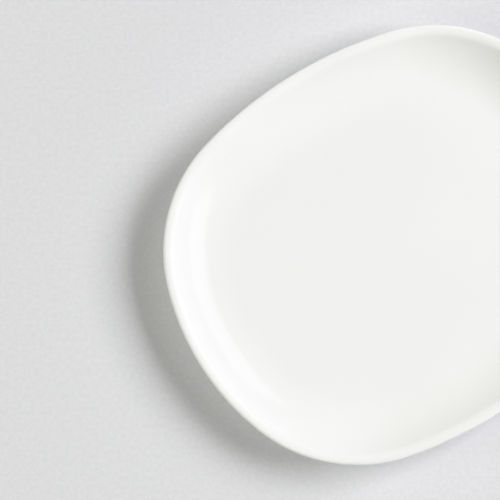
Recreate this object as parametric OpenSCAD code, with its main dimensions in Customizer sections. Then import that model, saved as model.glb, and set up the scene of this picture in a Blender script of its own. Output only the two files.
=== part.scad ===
// Bread plate: a shallow coupe of white porcelain with a soft, irregular four-cornered outline.
// Millimetres, +Z up. The origin is on the table, under the middle of the plate's bounding box.
// The fired body is one piece with its foot ring. Two coats of glaze lie on it: one that runs from
// the well over the lip and down to the foot, and one inside the foot ring. The foot's edge is bare.

/* [Outline radii] */
// Radius of the left corner
left_r = 57; // [50:0.5:64]
// Radius of the bottom corner
bottom_r = 57.5; // [51:0.5:64]
// Radius of the side between the right and top corners
right_top_r = 119; // [105:1:135]
// Radius of the side between the top and left corners
top_left_r = 154; // [136:1:172]
// Radius of the side between the left and bottom corners
left_bottom_r = 95; // [84:1:106]
// Radius of the side between the bottom and right corners
bottom_right_r = 161.5; // [142:0.5:182]

/* [Outline bearings, in degrees anticlockwise from +X] */
// Bearing at which the right corner starts
right_start = -42.5; // [-50:0.5:-36]
// Bearing at which the right corner ends
right_end = 23; // [16:0.5:30]
// Bearing at which the top corner starts
top_start = 46; // [39:0.5:53]
// Bearing at which the top corner ends
top_end = 106.5; // [100:0.5:113]
// Bearing at which the left corner starts
left_start = 137; // [130:0.5:144]
// Bearing at which the left corner ends
left_end = 193; // [186:0.5:200]
// Bearing at which the bottom corner starts
bottom_start = 231.5; // [224:0.5:239]
// Bearing at which the bottom corner ends
bottom_end = 289.5; // [282:0.5:297]

/* [Section] */
// Thickness of the glazed wall and floor
wall_t = 3.2; // [2.6:0.1:5]
// Inner radius of the wall, from the floor up to the lip
cove_r = 29.5; // [24:0.5:36]
// Radius with which the wall rolls over to the lip
roll_r = 5; // [3:0.1:7]
// Height of the underside above the table
foot_h = 2.4; // [1.6:0.1:4]
// Width of the foot ring
foot_w = 4; // [3:0.1:6]
// Distance from the root of the wall in to the foot ring
foot_inset = 3; // [2:0.1:6]
// Fillet between the foot ring and the underside
foot_fillet = 1; // [0.4:0.1:2]
// Bevel on the bare edges of the foot ring
foot_bevel = 0.5; // [0.2:0.1:0.8]

/* [Glaze] */
// Thickness of the glaze coats
glaze_t = 0.3; // [0.2:0.05:0.5]
// Height above the table of the line where the glaze ends on the foot
glaze_line = 1; // [0.8:0.1:1.3]

/* [Hidden] */
$fn = 96;

bare_porcelain = [0.93, 0.91, 0.87];
white_glaze = [0.95, 0.95, 0.94];

// The outline is a closed chain of eight arcs, tangent where they meet. It runs anticlockwise from the
// right corner: corner, side, corner, side and so on, and each arc spans from one bearing to the next.
bearings = [right_start, right_end, top_start, top_end, left_start, left_end, bottom_start, bottom_end,
            right_start + 360];
function unit(bearing) = [cos(bearing), sin(bearing)];
function turn(i) = unit(bearings[i + 1]) - unit(bearings[i]);
function cross2(a, b) = a[0] * b[1] - a[1] * b[0];

// The other six arcs leave a gap, and the right and top corners take the radii that close it.
gap = -(right_top_r * turn(1) + top_left_r * turn(3) + left_r * turn(4) + left_bottom_r * turn(5)
        + bottom_r * turn(6) + bottom_right_r * turn(7));
right_r = cross2(gap, turn(2)) / cross2(turn(0), turn(2));
top_r = cross2(turn(0), gap) / cross2(turn(0), turn(2));
radii = [right_r, right_top_r, top_r, top_left_r, left_r, left_bottom_r, bottom_r, bottom_right_r];

// Two arcs that meet have their centres on one line through the joint.
function chained(i) = i == 0 ? [0, 0] : chained(i - 1) + (radii[i - 1] - radii[i]) * unit(bearings[i]);
low = [chained(4)[0] - left_r, chained(6)[1] - bottom_r];
high = [chained(0)[0] + right_r, chained(2)[1] + top_r];
centres = [for (i = [0:7]) chained(i) - (low + high) / 2];

// In the section, x is 0 at the root of the wall, where it leaves the floor, and grows outwards. The wall
// is a round cove, which meets the roll of the lip on the long side of a 20-21-29 triangle, 43.6 degrees up
// from the floor.
roll_legs = [20, 21];
roll_across = roll_legs[0] / norm(roll_legs);
roll_down = roll_legs[1] / norm(roll_legs);
outside_r = cove_r + wall_t;
span_r = cove_r + roll_r;
floor_z = foot_h + wall_t;
cove_centre = [0, floor_z + cove_r];
roll_centre = cove_centre + span_r * [roll_across, -roll_down];

// The lip's edge is an arc with its centre over that of the roll, which touches the roll and the outside.
lip_r = (outside_r ^ 2 - span_r ^ 2 - roll_r ^ 2 + 2 * span_r * roll_r * roll_down)
        / (2 * (outside_r - roll_r + span_r * roll_down));
lip_centre = roll_centre + [0, roll_r - lip_r];
root_inset = lip_centre[0] + lip_r;
foot_outer_x = -foot_inset;
foot_inner_x = foot_outer_x - foot_w;
fillet = min(foot_fillet, foot_h - glaze_line);

// The swept ring reaches in past the foot, and a flat slab with its edge on the ring fills the middle.
ring_reach = 6;
slab_lap = 3;
ring_x = foot_inner_x - ring_reach;
slab_x = ring_x + slab_lap;

// A cut runs past what it cuts by this much.
cut_margin = 1;

// A move of this much and back rounds a position to less than a millionth of a millimetre.
far_off = 2e9;

// Overall sizes, and a point on the standing face of the foot.
echo(length = high[0] - low[0], width = high[1] - low[1], height = lip_centre[1] + lip_r);
echo(foot_point = centres[0] + [right_r - root_inset + foot_outer_x - foot_w / 2, 0]);

// Moves by whole units, then thousandths, then the rest, so that arcs that meet do so exactly.
module place(at) {
    whole = [for (v = at) floor(v)];
    thousandths = [for (v = at - whole) floor(v * 1000) / 1000];
    translate(whole) translate(thousandths) translate(at - whole - thousandths) children();
}

// Moves far off and back, which rounds away the last digits, so that arcs that meet share their points.
module settle() {
    translate([-far_off, -far_off, 0]) translate([far_off, far_off, 0]) children();
}

// Carries a section round the outline, with the root of the wall at its inset.
module sweep() {
    for (i = [0:7])
        settle() place(centres[i])
            rotate_extrude(angle = bearings[i + 1] - bearings[i], start = bearings[i])
                place([radii[i] - root_inset, 0]) children();
}

// Fills the middle of the swept ring between two heights, with two chords for each arc.
module slab(z0, z1) {
    rim = [for (i = [0:7], a = [bearings[i], (bearings[i] + bearings[i + 1]) / 2])
        centres[i] + (radii[i] - root_inset + slab_x) * unit(a)];
    translate([0, 0, z0]) linear_extrude(z1 - z0) polygon(rim);
}

// The parts of the section are drawn with their surface at a depth under the glazed surface.
module wall_section(depth) {
    wedge = roll_legs * (1 + floor(outside_r / roll_legs[1]));
    translate(cove_centre) intersection() {
        difference() {
            circle(outside_r - depth);
            circle(cove_r + depth);
        }
        polygon([[0, 0], [0, -wedge[1]], [wedge[0], -wedge[1]]]);
    }
    // The roll lies between the cove and the lip's edge.
    intersection() {
        translate(cove_centre) circle(outside_r - depth);
        place(roll_centre) circle(roll_r - depth);
        polygon([cove_centre, cove_centre - [0, wedge[1]], 2 * lip_centre - cove_centre, lip_centre,
                 lip_centre + [0, roll_r]]);
    }
    place(lip_centre) circle(lip_r - depth);
}

module floor_section(depth) {
    translate([ring_x, foot_h + depth]) square([-ring_x, wall_t - 2 * depth]);
}

// One side of the foot ring's root, with its fillet, for a foot that stands to the left of x = 0.
module fillet_section(depth) {
    difference() {
        translate([-depth, foot_h - fillet]) square([fillet + depth, fillet + depth]);
        translate([fillet, foot_h - fillet]) circle(fillet + depth);
    }
}

module foot_section(depth, bottom_z, bevel) {
    inner_x = foot_inner_x + depth;
    outer_x = foot_outer_x - depth;
    top_z = foot_h + wall_t / 2;
    polygon([[inner_x, top_z], [inner_x, bottom_z + bevel], [inner_x + bevel, bottom_z],
             [outer_x - bevel, bottom_z], [outer_x, bottom_z + bevel], [outer_x, top_z]]);
    translate([foot_outer_x, 0]) fillet_section(depth);
    translate([foot_inner_x, 0]) mirror([1, 0]) fillet_section(depth);
}

module body_section() {
    wall_section(glaze_t);
    floor_section(glaze_t);
    foot_section(glaze_t, 0, foot_bevel);
}

// Everything between the body and the glazed surface.
module coat_section() {
    difference() {
        union() {
            wall_section(0);
            floor_section(0);
            foot_section(0, glaze_line, 0);
        }
        body_section();
    }
}

// The side of the section that lies under the floor and inside the foot ring.
module foot_well_side() {
    translate([ring_x - cut_margin, 0])
        square([foot_inner_x + foot_w / 2 - ring_x + cut_margin, foot_h + wall_t / 2]);
}

module body() {
    color(bare_porcelain) {
        sweep() body_section();
        slab(foot_h + glaze_t, floor_z - glaze_t);
    }
}

module outer_glaze() {
    color(white_glaze) {
        sweep() difference() {
            coat_section();
            foot_well_side();
        }
        slab(floor_z - glaze_t, floor_z);
    }
}

module foot_well_glaze() {
    color(white_glaze) {
        sweep() intersection() {
            coat_section();
            foot_well_side();
        }
        slab(foot_h, foot_h + glaze_t);
    }
}

body();
outer_glaze();
foot_well_glaze();
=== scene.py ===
# Bread plate: a shallow coupe of white porcelain on a pale table, seen almost from above.
import math

import bpy
import numpy as np
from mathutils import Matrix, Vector


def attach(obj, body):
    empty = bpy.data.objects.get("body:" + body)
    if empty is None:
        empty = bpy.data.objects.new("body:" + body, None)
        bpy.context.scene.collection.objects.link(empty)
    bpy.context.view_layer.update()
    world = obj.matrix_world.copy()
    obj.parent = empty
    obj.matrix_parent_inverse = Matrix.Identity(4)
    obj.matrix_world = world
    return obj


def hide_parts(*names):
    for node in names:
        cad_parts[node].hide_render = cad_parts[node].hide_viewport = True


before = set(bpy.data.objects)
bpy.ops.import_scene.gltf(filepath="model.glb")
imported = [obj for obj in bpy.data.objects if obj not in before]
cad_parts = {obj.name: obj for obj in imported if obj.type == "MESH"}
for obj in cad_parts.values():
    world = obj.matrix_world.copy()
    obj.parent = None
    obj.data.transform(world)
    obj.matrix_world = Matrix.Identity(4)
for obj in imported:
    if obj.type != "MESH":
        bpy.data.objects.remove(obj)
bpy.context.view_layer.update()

scene = bpy.context.scene
mm = 0.001


# Turns an sRGB hex colour into linear red, green, blue and alpha.
def linear(hexColour):
    srgb = [int(hexColour[i:i + 2], 16) / 255 for i in (1, 3, 5)]
    return [c / 12.92 if c <= 0.04045 else ((c + 0.055) / 1.055) ** 2.4 for c in srgb] + [1.0]


# Adds a node to a tree. A setting that the node has is set. Any other is the value or link of an input,
# which is given by its name, or by its place as in0, in1 and so on. On Map Range, in1 to in2 is the range
# that is taken and in3 to in4 the one that is given. On a colour Mix, in0 mixes in6 with in7, and the
# result is output 2.
def addNode(tree, kind, **settings):
    node = tree.nodes.new(kind)
    for name, value in settings.items():
        if hasattr(node, name):
            setattr(node, name, value)
            continue
        byPlace = name.startswith("in") and name[2:].isdigit()
        socket = node.inputs[int(name[2:]) if byPlace else name]
        if isinstance(value, bpy.types.NodeSocket):
            tree.links.new(value, socket)
        else:
            socket.default_value = value
    return node


def newMaterial(name):
    material = bpy.data.materials.new(name)
    material.use_nodes = True
    material.node_tree.nodes.clear()
    return material, material.node_tree


# Camera
camera = {
    "target": (-53.3, -2.55, 13.7),  # mm, the point in the middle of the picture
    "elevation": 84.0,  # degrees
    "distance": 900.0,  # mm
    "span": 183.0,  # mm across the picture at the target
    "sensor": 36.0,
    "clip": (0.01, 50.0),  # m
}


# Stands back from the target by the distance, straight in front at its elevation, with a lens that takes in
# the span there.
def placeCamera(c):
    data = bpy.data.cameras.new("plateCamera")
    obj = bpy.data.objects.new("plateCamera", data)
    scene.collection.objects.link(obj)
    up = math.radians(c["elevation"])
    back = Vector((0.0, -math.cos(up), math.sin(up)))
    target = Vector(c["target"]) * mm
    obj.location = target + back * c["distance"] * mm
    obj.rotation_euler = back.to_track_quat("Z", "Y").to_euler()
    data.sensor_width = c["sensor"]
    data.lens = c["sensor"] * c["distance"] / c["span"]
    data.clip_start, data.clip_end = c["clip"]
    scene.camera = obj


placeCamera(camera)
print("camera placed")

# Light and table
studio = {
    "room": "#333333",  # light that the room sends in from all round
    "backdrop": "#DFDFE1",  # what the camera and the glaze see of the room
    "table": "#E5E5E9",
    "fibre": "#DFDFE3",  # darker flecks in the card
    "fibreSize": 1.6,  # mm, coarser than real fibres so that it shows
    "fibreFade": (0.3, 0.7),  # noise between which the flecks fade in
    "tableSize": 2.6,  # m, so that it ends before the lamps
    # Azimuth and elevation in degrees, distance and size in m, glow as radiance. A lamp that doesn't show
    # isn't mirrored in the glaze, and one that doesn't light is only mirrored there.
    "lamps": {
        "keySoftbox": {
            "from": (15, 39.4, 2.0), "size": (1.47, 0.93),
            "glow": 10.2, "tint": "#FEFDFF", "shows": False,
        },
        "softboxFace": {
            "from": (15, 42, 3.0), "size": (3.25, 1.3),
            "glow": 0.92, "tint": "#FFFFFF", "lights": False,
        },
        "leftBoard": {
            "from": (195, 37, 3.0), "size": (3.4, 1.4),
            "glow": 3.76, "tint": "#FDFFF3", "shows": False,
        },
        "frontBoard": {
            "from": (300, 8, 3.0), "size": (3.4, 0.7),
            "glow": 2.2, "tint": "#FDFFF5", "shows": False,
        },
        "backBoard": {
            "from": (105, 8, 3.0), "size": (3.4, 0.7),
            "glow": 2.45, "tint": "#FDFFF5", "shows": False,
        },
    },
}


# An area lamp that faces the plate; its power is glow times pi times its area.
def hangLamp(name, lamp):
    data = bpy.data.lights.new(name, "AREA")
    data.shape = "RECTANGLE"
    data.size, data.size_y = lamp["size"]
    data.energy = lamp["glow"] * math.pi * data.size * data.size_y
    data.color = linear(lamp["tint"])[:3]
    obj = bpy.data.objects.new(name, data)
    scene.collection.objects.link(obj)
    azimuth, elevation = math.radians(lamp["from"][0]), math.radians(lamp["from"][1])
    level = math.cos(elevation)
    away = Vector((level * math.cos(azimuth), level * math.sin(azimuth), math.sin(elevation)))
    obj.location = away * lamp["from"][2]
    obj.rotation_euler = away.to_track_quat("Z", "Y").to_euler()
    obj.visible_glossy = lamp.get("shows", True)
    obj.visible_diffuse = lamp.get("lights", True)


# A room that is dim for what it lights and pale for what sees it, the lamps, and a square table at height 0.
def lightStudio(s):
    world = bpy.data.worlds.new("paleRoom")
    scene.world = world
    world.use_nodes = True
    tree = world.node_tree
    tree.nodes.clear()
    path = addNode(tree, "ShaderNodeLightPath")
    seen = addNode(tree, "ShaderNodeMath", operation="MAXIMUM",
                   in0=path.outputs["Is Camera Ray"], in1=path.outputs["Is Glossy Ray"])
    seen = addNode(tree, "ShaderNodeMath", operation="MAXIMUM",
                   in0=seen.outputs["Value"], in1=path.outputs["Is Transmission Ray"])
    room = addNode(tree, "ShaderNodeBackground", Color=linear(s["room"]))
    backdrop = addNode(tree, "ShaderNodeBackground", Color=linear(s["backdrop"]))
    mixed = addNode(tree, "ShaderNodeMixShader", in0=seen.outputs["Value"],
                    in1=room.outputs["Background"], in2=backdrop.outputs["Background"])
    addNode(tree, "ShaderNodeOutputWorld", Surface=mixed.outputs["Shader"])

    for name, lamp in s["lamps"].items():
        hangLamp(name, lamp)

    half = s["tableSize"] / 2
    corners = [(-half, -half, 0), (half, -half, 0), (half, half, 0), (-half, half, 0)]
    mesh = bpy.data.meshes.new("table")
    mesh.from_pydata(corners, [], [(0, 1, 2, 3)])
    table = bpy.data.objects.new("table", mesh)
    scene.collection.objects.link(table)
    # Uncoated card: a dull, even pale grey with a faint fleck of fibres.
    material, nodes = newMaterial("pale card")
    place = addNode(nodes, "ShaderNodeTexCoord").outputs["Object"]
    fibre = addNode(nodes, "ShaderNodeTexNoise", Vector=place, Scale=1 / (s["fibreSize"] * mm), Detail=2.0)
    fibre = addNode(nodes, "ShaderNodeMapRange", Value=fibre.outputs["Fac"],
                    in1=s["fibreFade"][0], in2=s["fibreFade"][1])
    tone = addNode(nodes, "ShaderNodeMix", data_type="RGBA", in0=fibre.outputs["Result"],
                   in6=linear(s["table"]), in7=linear(s["fibre"]))
    shader = addNode(nodes, "ShaderNodeBsdfDiffuse", Color=tone.outputs[2])
    addNode(nodes, "ShaderNodeOutputMaterial", Surface=shader.outputs["BSDF"])
    mesh.materials.append(material)


lightStudio(studio)
print("table and lights placed")

# Outline of the plate: a closed chain of eight tangent arcs, anticlockwise from the right corner.
outline = {
    # Bearings in degrees, at which one arc gives way to the next.
    "bearings": (-42.5, 23.0, 46.0, 106.5, 137.0, 193.0, 231.5, 289.5, 317.5),
    # Radii in mm. The right and top corners are left at 0 here, and take the radii that close the chain.
    "radii": (0.0, 119.0, 0.0, 154.0, 57.0, 95.0, 57.5, 161.5),
    "columns": 480,
}


# Each column gets the centre, radius and bearing of its arc, at even steps of length along the outline, and
# its share of the way round. Two arcs that meet have their centres on one line through the joint.
def outlineColumns(o):
    right, top, left, bottom = 0, 2, 4, 6  # the corners' places in the chain
    bearings = np.radians(o["bearings"])
    units = np.stack([np.cos(bearings), np.sin(bearings)], axis=1)
    turns = np.diff(units, axis=0)
    radii = np.array(o["radii"]) * mm
    radii[[right, top]] = np.linalg.solve(turns[[right, top]].T, -(radii @ turns))
    steps = (radii[:-1] - radii[1:])[:, None] * units[1:-1]
    centres = np.vstack([np.zeros((1, 2)), np.cumsum(steps, axis=0)])
    low = np.array([centres[left, 0] - radii[left], centres[bottom, 1] - radii[bottom]])
    high = np.array([centres[right, 0] + radii[right], centres[top, 1] + radii[top]])
    centres -= (low + high) / 2
    ends = np.concatenate([[0.0], np.cumsum(radii * np.diff(bearings))])
    along = np.linspace(0.0, ends[-1], o["columns"], endpoint=False)
    arc = np.searchsorted(ends, along, side="right") - 1
    bearing = bearings[arc] + (along - ends[arc]) / radii[arc]
    return centres[arc], radii[arc], bearing, along / ends[-1]


# Section through the wall, in mm: inset is the distance in from the outline, and z the height.
section = {
    "wall": 3.2,
    "cove": 29.5,  # inner radius of the wall
    "roll": 5.0,  # radius with which the wall rolls over to the lip
    "rise": math.degrees(math.atan2(20, 21)),  # steepest slope of the wall, where the cove meets the roll
    "footHeight": 2.4,
    "footWidth": 4.0,
    "footInset": 3.0,
    "footFillet": 1.0,
    "glaze": 0.3,
    "glazeLine": 1.0,
    "flat": 38.0,  # inset from which the floor closes straight to the middle
}
rise = math.radians(section["rise"])
outside = section["cove"] + section["wall"]
swing = section["cove"] + section["roll"]  # from the middle of the cove to the middle of the roll
# The lip's edge is an arc under the top of the roll, which touches the roll and the outside.
edge = outside ** 2 - swing ** 2 - section["roll"] ** 2 + 2 * swing * section["roll"] * math.cos(rise)
edge /= 2 * (outside - section["roll"] + swing * math.cos(rise))
root = edge + swing * math.sin(rise)
floorZ = section["footHeight"] + section["wall"]
coveZ = floorZ + section["cove"]
topZ = floorZ + swing * (1 - math.cos(rise))
lean = math.degrees(math.atan2(root - edge, coveZ - topZ + edge))  # where the outside meets the lip's edge
footOuter = root + section["footInset"]
footInner = footOuter + section["footWidth"]

# Points along each run of the section. The hidden face of a coat keeps one in a few of them.
runs = {
    "floor": 8,
    "cove": 36,
    "roll": 22,
    "edge": 22,
    "outside": 26,
    "underside": 4,
    "fillet": 9,
    "foot": 4,
    "footWell": 5,
    "bead": 7,
    "hiddenStep": 3,
}


# Points on an arc about a middle, with angles from outwards round to upwards.
def arcPoints(about, radius, start, end, count):
    a = np.radians(np.linspace(start, end, count))
    return np.stack([about[0] - radius * np.cos(a), about[1] + radius * np.sin(a)], axis=1)


# Points at even steps on a straight line.
def linePoints(start, end, count):
    return np.linspace(start, end, count)


# Joins runs of points that share their end points.
def joined(*parts):
    return np.vstack([parts[0]] + [part[1:] for part in parts[1:]])


# A face's points moved by a depth against its normal, which is its direction turned a quarter turn clockwise.
def sunk(points, depth):
    along = np.gradient(points, axis=0)
    along /= np.linalg.norm(along, axis=1, keepdims=True)
    return points - depth * np.stack([along[:, 1], -along[:, 0]], axis=1)


# Glazed face from the edge of the flat floor up the cove, over the lip, down the outside and along to the
# foot: lines and arcs that meet at a tangent.
def outerFace(s):
    fillet = s["footFillet"]
    return joined(
        linePoints((s["flat"], floorZ), (root, floorZ), runs["floor"]),
        arcPoints((root, coveZ), s["cove"], -90, s["rise"] - 90, runs["cove"]),
        arcPoints((edge, topZ - s["roll"]), s["roll"], s["rise"] + 90, 90, runs["roll"]),
        arcPoints((edge, topZ - edge), edge, 90, lean - 90, runs["edge"]),
        arcPoints((root, coveZ), outside, lean - 90, -90, runs["outside"]),
        linePoints((root, s["footHeight"]), (footOuter - fillet, s["footHeight"]), runs["underside"]),
        arcPoints((footOuter - fillet, s["footHeight"] - fillet), fillet, 90, 180, runs["fillet"]),
        linePoints((footOuter, s["footHeight"] - fillet), (footOuter, s["glazeLine"]), runs["foot"]),
    )


# Glazed face inside the foot ring, from the glaze line up the foot and in along the underside.
def footWellFace(s):
    fillet = s["footFillet"]
    return joined(
        linePoints((footInner, s["glazeLine"]), (footInner, s["footHeight"] - fillet), runs["foot"]),
        arcPoints((footInner + fillet, s["footHeight"] - fillet), fillet, 0, 90, runs["fillet"]),
        linePoints((footInner + fillet, s["footHeight"]), (s["flat"], s["footHeight"]), runs["footWell"]),
    )


# Small unevenness of a fired plate, in mm.
uneven = {
    "sag": 0.18,  # the well's middle lies this much lower than its edge
    "sagReach": 60.0,  # from the middle out
    "warp": 0.04,  # slow waves over the whole plate
    # Wavelength, heading in radians and share of each wave.
    "warpWaves": ((62, 0.3, 1.0), (41, 2.1, 0.7), (33, 3.9, 0.5), (24, 5.2, 0.35)),
    "warpShift": 1.7,  # radians from one wave's start to the next one's
    "lip": 0.10,  # rise and fall of the lip
    "lipOrders": (2, 3, 5),  # sines in one round
    "line": 0.10,  # wander of the glaze line on the foot
    "lineOrders": (7, 13, 23, 37),
    "lineFade": 0.4,  # height in which the wander sets in below the fillet
    "orderShift": 0.9,  # radians of start for each order
}


# Rises smoothly from 0 to 1: three squares less two cubes.
def eased(t):
    t = np.clip(t, 0, 1)
    return t * t * (3 - 2 * t)


# Height that the plate's unevenness adds at points x and y in metres: a sum of slow plane waves.
def warp(x, y):
    total = np.zeros_like(x)
    for i, (length, heading, share) in enumerate(uneven["warpWaves"]):
        along = x * math.cos(heading) + y * math.sin(heading)
        total += share * np.sin(2 * np.pi * along / (length * mm) + uneven["warpShift"] * i)
    return total * uneven["warp"] * mm


# Mean of some sines in the share of the way round the outline.
def wander(share, orders):
    return sum(np.sin(2 * np.pi * k * share + uneven["orderShift"] * k) for k in orders) / len(orders)


# How the glaze ran in the kiln, in mm.
kiln = {
    "thinBelow": 1.4,  # it drew thin from this far below the top of the lip, and over this band the lip is painted whiter as a highlight
    # Depth of a pool, against the usual coat, and its reach across and up.
    "covePool": (0.5, 6.0, 1.5),
    "filletPool": (0.8, 1.2, 1.0),
    "vary": 0.35,  # share by which thin and pooled places vary round the plate
    "varyOrders": (4, 7, 11),
}


# A bell that falls away from a pool's middle, as two Gaussian curves times its depth.
def pool(shape, across, up):
    depth, reach, height = shape
    return depth * np.exp(-(across / reach) ** 2) * np.exp(-(up / height) ** 2)


# Depth of the glaze on each row: below 0 where it drew thin over the lip, which the finish also paints whiter
# as a highlight, above 0 where it pooled at the foot of the cove and in the fillet at the foot ring.
def glazeRun(rows, filletAt):
    inset, z = rows[:, 0], rows[:, 1]
    thinLipHighlight = eased((z - topZ + kiln["thinBelow"]) / kiln["thinBelow"])
    atCove = pool(kiln["covePool"], inset - root, z - floorZ)
    atFillet = pool(kiln["filletPool"], inset - filletAt, z - section["footHeight"])
    return atCove + atFillet - thinLipHighlight


# Carries a closed section round the outline: rows run along the section, columns round the outline, and
# rows with a share below 1 draw in towards the middle, where a single point closes each end.
def loft(name, rows, share, lipWeight, lineWeight, depth):
    centres, radii, bearing, way = outlineColumns(outline)
    inset, z = rows[:, :1] * mm, rows[:, 1:] * mm
    reach = radii[None, :] - inset
    x = share[:, None] * (centres[None, :, 0] + reach * np.cos(bearing))
    y = share[:, None] * (centres[None, :, 1] + reach * np.sin(bearing))
    z = z + lipWeight[:, None] * uneven["lip"] * mm * wander(way, uneven["lipOrders"])[None, :]
    z = z + lineWeight[:, None] * uneven["line"] * mm * wander(way, uneven["lineOrders"])[None, :]
    ends = np.array([[0.0, 0.0, z[0].mean()], [0.0, 0.0, z[-1].mean()]])
    points = np.vstack([np.stack([x, y, z], axis=2).reshape(-1, 3), ends])
    out = np.hypot(points[:, 0], points[:, 1]) / (uneven["sagReach"] * mm)
    points[:, 2] += warp(points[:, 0], points[:, 1])
    points[:, 2] -= uneven["sag"] * mm * np.clip(1 - out ** 2, 0, None) ** 2

    count, columns = x.shape
    at = np.arange(count * columns).reshape(count, columns)
    nxt = np.roll(at, -1, axis=1)
    quads = np.stack([at[:-1], at[1:], nxt[1:], nxt[:-1]], axis=2).reshape(-1, 4)
    first, last = count * columns, count * columns + 1
    caps = np.vstack([
        np.stack([np.full(columns, first), at[0], nxt[0]], axis=1),
        np.stack([at[-1], np.full(columns, last), nxt[-1]], axis=1),
    ])
    mesh = bpy.data.meshes.new(name)
    mesh.from_pydata(points, [], quads.tolist() + caps.tolist())
    mesh.polygons.foreach_set("use_smooth", np.ones(len(mesh.polygons), bool))
    # The finish reads the depth of the glaze from this attribute, and paints a whiter lip from it as a
    # highlight.
    run = depth[:, None] * (1 + kiln["vary"] * wander(way, kiln["varyOrders"]))[None, :]
    values = np.concatenate([run.ravel(), depth[[0, -1]]]).astype(np.float32)
    mesh.attributes.new("glazeDepthAndLipHighlight", "FLOAT", "POINT").data.foreach_set("value", values)
    mesh.update()
    obj = bpy.data.objects.new(name, mesh)
    scene.collection.objects.link(obj)
    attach(obj, "root")
    return obj


# Shares for the rows that close a flat face to its middle.
drawIn = np.array([0.04, 0.1, 0.2, 0.32, 0.45, 0.58, 0.7, 0.8, 0.88, 0.95])


# One coat as a closed shell: its glazed face, a round bead at the glaze line, and its hidden face on the
# body, which is the glazed face sunk by the thickness of the glaze.
def coatShell(name, face, beadAt, faceFirst):
    end = len(face) - 1
    hidden = sunk(face, section["glaze"])[[0, *range(1, end, runs["hiddenStep"]), end]]
    bead = arcPoints((beadAt, section["glazeLine"]), section["glaze"] / 2, 0, -180, runs["bead"])
    if faceFirst:
        rows = np.vstack([face, bead[1:-1], hidden[::-1]])
        firstZ, lastZ = face[0, 1], hidden[0, 1]
    else:
        rows = np.vstack([hidden[::-1], bead[1:-1], face])
        firstZ, lastZ = hidden[-1, 1], face[-1, 1]
    closing = np.full((len(drawIn), 1), section["flat"])
    rows = np.vstack([
        np.hstack([closing, np.full_like(closing, firstZ)]),
        rows,
        np.hstack([closing, np.full_like(closing, lastZ)]),
    ])
    share = np.concatenate([drawIn, np.ones(len(rows) - 2 * len(drawIn)), drawIn[::-1]])
    lipWeight = eased((rows[:, 1] - floorZ) / (topZ - floorZ))
    belowFillet = section["footHeight"] - section["footFillet"] - rows[:, 1]
    lineWeight = np.clip(belowFillet / uneven["lineFade"], 0, 1)
    return loft(name, rows, share, lipWeight, lineWeight, glazeRun(rows, beadAt))


outerCoat = coatShell("outerCoat", outerFace(section), footOuter + section["glaze"] / 2, True)
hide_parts("outer_glaze")
footWellCoat = coatShell("footWellCoat", footWellFace(section), footInner - section["glaze"] / 2, False)
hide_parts("foot_well_glaze")
print("glaze coats built", len(outerCoat.data.polygons), len(footWellCoat.data.polygons))

# Finishes. A fade is the pair of noise values between which a pattern sets in.
glaze = {
    "even": "#F3F3F3",  # white of a coat of the usual depth
    "thinLipHighlight": "#F5F5F5",  # painted highlight: the lip a touch whiter where the glaze runs thin
    "pooled": "#F2F2F3",  # a touch cooler where the glass is deeper
    "cloud": "#FEFEFE",  # the slow cloudiness of the fired body dims the white by this much
    "cloudSize": 30.0,  # mm
    "cloudFade": (0.35, 0.65),
    "speck": "#E3DFD6",  # faint iron specks in the clay, under the glaze
    "speckSpacing": 9.0,  # mm
    "speckSize": 0.45,  # mm
    "peelSize": 2.2,  # mm, orange peel of the melted glaze
    "peelHeight": 0.004,  # mm
    "waveSize": 15.0,  # mm, slow waves where the glaze flowed
    "waveHeight": 0.02,  # mm
    "polish": (0.05, 0.09),  # roughness from the best melted patches to the dullest
    "patchSize": 12.0,  # mm
    "patchFade": (0.3, 0.7),
    "lipWear": 0.05,  # roughness that handling adds at the lip
    "ior": 1.52,
}
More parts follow.
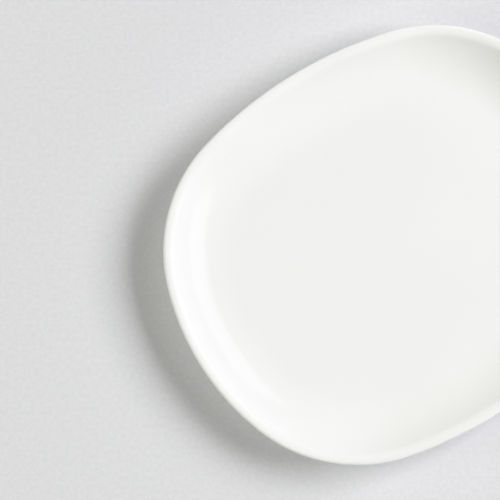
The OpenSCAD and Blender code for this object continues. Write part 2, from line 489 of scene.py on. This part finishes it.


# Glazed porcelain: a clear coat melted smooth over a dense white body. It gives the eye a clean, slightly
# cloudy white with clear reflections that ripple a little, a lip painted a touch whiter as a highlight where
# the glaze runs thin, cooler hollows and now and then a faint speck.
def glazedPorcelain(g):
    material, tree = newMaterial("glazed porcelain")
    place = addNode(tree, "ShaderNodeTexCoord").outputs["Object"]
    depth = addNode(tree, "ShaderNodeAttribute", attribute_name="glazeDepthAndLipHighlight").outputs["Fac"]

    # The ramp runs from the thin glaze at the lip, painted whiter as a highlight, through the usual white to
    # the cooler pooled glaze.
    run = addNode(tree, "ShaderNodeMapRange", Value=depth, in1=-1.0, in2=1.0)
    tone = addNode(tree, "ShaderNodeValToRGB", Fac=run.outputs["Result"])
    stops = tone.color_ramp.elements
    stops[0].color, stops[1].color = linear(g["thinLipHighlight"]), linear(g["pooled"])
    stops.new(0.5).color = linear(g["even"])

    cloud = addNode(tree, "ShaderNodeTexNoise", Vector=place, Scale=1 / (g["cloudSize"] * mm), Detail=2.0)
    cloud = addNode(tree, "ShaderNodeMapRange", Value=cloud.outputs["Fac"],
                    in1=g["cloudFade"][0], in2=g["cloudFade"][1])
    tone = addNode(tree, "ShaderNodeMix", data_type="RGBA", blend_type="MULTIPLY",
                   in0=cloud.outputs["Result"], in6=tone.outputs["Color"], in7=linear(g["cloud"]))

    # A speck shows where a cell's point lies in the surface.
    cell = addNode(tree, "ShaderNodeTexVoronoi", Vector=place, Scale=1 / (g["speckSpacing"] * mm))
    reach = g["speckSize"] / 2 / g["speckSpacing"]
    speck = addNode(tree, "ShaderNodeMapRange", Value=cell.outputs["Distance"], in1=reach, in2=reach / 2)
    tone = addNode(tree, "ShaderNodeMix", data_type="RGBA", in0=speck.outputs["Result"],
                   in6=tone.outputs[2], in7=linear(g["speck"]))

    patch = addNode(tree, "ShaderNodeTexNoise", Vector=place, Scale=1 / (g["patchSize"] * mm), Detail=3.0)
    dull = addNode(tree, "ShaderNodeMapRange", Value=patch.outputs["Fac"],
                   in1=g["patchFade"][0], in2=g["patchFade"][1], in3=g["polish"][0], in4=g["polish"][1])
    worn = addNode(tree, "ShaderNodeMapRange", Value=depth, in1=0.0, in2=-1.0, in3=0.0, in4=g["lipWear"])
    dull = addNode(tree, "ShaderNodeMath", operation="ADD",
                   in0=dull.outputs["Result"], in1=worn.outputs["Result"])

    peel = addNode(tree, "ShaderNodeTexNoise", Vector=place, Scale=1 / (g["peelSize"] * mm), Detail=1.0)
    wave = addNode(tree, "ShaderNodeTexNoise", Vector=place, Scale=1 / (g["waveSize"] * mm), Detail=1.0)
    wave = addNode(tree, "ShaderNodeMath", operation="MULTIPLY",
                   in0=wave.outputs["Fac"], in1=g["waveHeight"] * mm)
    height = addNode(tree, "ShaderNodeMath", operation="MULTIPLY_ADD", in0=peel.outputs["Fac"],
                     in1=g["peelHeight"] * mm, in2=wave.outputs["Value"])
    ripple = addNode(tree, "ShaderNodeBump", Strength=1.0, Distance=1.0, Height=height.outputs["Value"])

    shader = addNode(tree, "ShaderNodeBsdfPrincipled", IOR=g["ior"], Roughness=dull.outputs["Value"],
                     Normal=ripple.outputs["Normal"])
    tree.links.new(tone.outputs[2], shader.inputs["Base Color"])
    addNode(tree, "ShaderNodeOutputMaterial", Surface=shader.outputs["BSDF"])
    return material


bare = {
    "clay": "#EDE8DC",
    "shade": "#E2DACA",  # flashing from the kiln, in slow patches
    "patchSize": 14.0,  # mm
    "patchFade": (0.35, 0.65),
    "worn": "#C6BDAE",  # grey picked up from tables on the standing face
    "wornBelow": 0.12,  # mm above the table
    "wornFade": (0.4, 0.6),
    "grain": 0.45,  # mm; the real grit is about a tenth of that, and is drawn coarser so that it shows
    "grainHeight": 0.02,  # mm
    "grainFade": (0.3, 0.7),
    "roughness": (0.72, 0.92),
}


# Unglazed porcelain, fired bare and ground flat: a dry, warm white with fine grit, greyer where the plate
# stands.
def unglazedPorcelain(b):
    material, tree = newMaterial("unglazed porcelain")
    place = addNode(tree, "ShaderNodeTexCoord").outputs["Object"]

    patch = addNode(tree, "ShaderNodeTexNoise", Vector=place, Scale=1 / (b["patchSize"] * mm), Detail=3.0)
    patch = addNode(tree, "ShaderNodeMapRange", Value=patch.outputs["Fac"],
                    in1=b["patchFade"][0], in2=b["patchFade"][1])
    tone = addNode(tree, "ShaderNodeMix", data_type="RGBA", in0=patch.outputs["Result"],
                   in6=linear(b["clay"]), in7=linear(b["shade"]))

    grain = addNode(tree, "ShaderNodeTexNoise", Vector=place, Scale=1 / (b["grain"] * mm), Detail=2.0)
    up = addNode(tree, "ShaderNodeSeparateXYZ", Vector=place)
    stood = addNode(tree, "ShaderNodeMapRange", Value=up.outputs["Z"], in1=b["wornBelow"] * mm, in2=0.0)
    rubbed = addNode(tree, "ShaderNodeMapRange", Value=grain.outputs["Fac"],
                     in1=b["wornFade"][0], in2=b["wornFade"][1])
    rubbed = addNode(tree, "ShaderNodeMath", operation="MULTIPLY",
                     in0=stood.outputs["Result"], in1=rubbed.outputs["Result"])
    tone = addNode(tree, "ShaderNodeMix", data_type="RGBA", in0=rubbed.outputs["Value"],
                   in6=tone.outputs[2], in7=linear(b["worn"]))

    dull = addNode(tree, "ShaderNodeMapRange", Value=grain.outputs["Fac"], in1=b["grainFade"][0],
                   in2=b["grainFade"][1], in3=b["roughness"][0], in4=b["roughness"][1])
    grit = addNode(tree, "ShaderNodeBump", Strength=1.0, Distance=b["grainHeight"] * mm,
                   Height=grain.outputs["Fac"])
    shader = addNode(tree, "ShaderNodeBsdfPrincipled", Roughness=dull.outputs["Result"],
                     Normal=grit.outputs["Normal"])
    tree.links.new(tone.outputs[2], shader.inputs["Base Color"])
    addNode(tree, "ShaderNodeOutputMaterial", Surface=shader.outputs["BSDF"])
    return material


whiteGlaze = glazedPorcelain(glaze)
for coat in (outerCoat, footWellCoat):
    coat.data.materials.append(whiteGlaze)
bareClay = unglazedPorcelain(bare)
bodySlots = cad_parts["body"].material_slots
for bodySlot in bodySlots:
    bodySlot.material = bareClay
print("finishes set", len(bodySlots))

scene.view_settings.view_transform = "Standard"
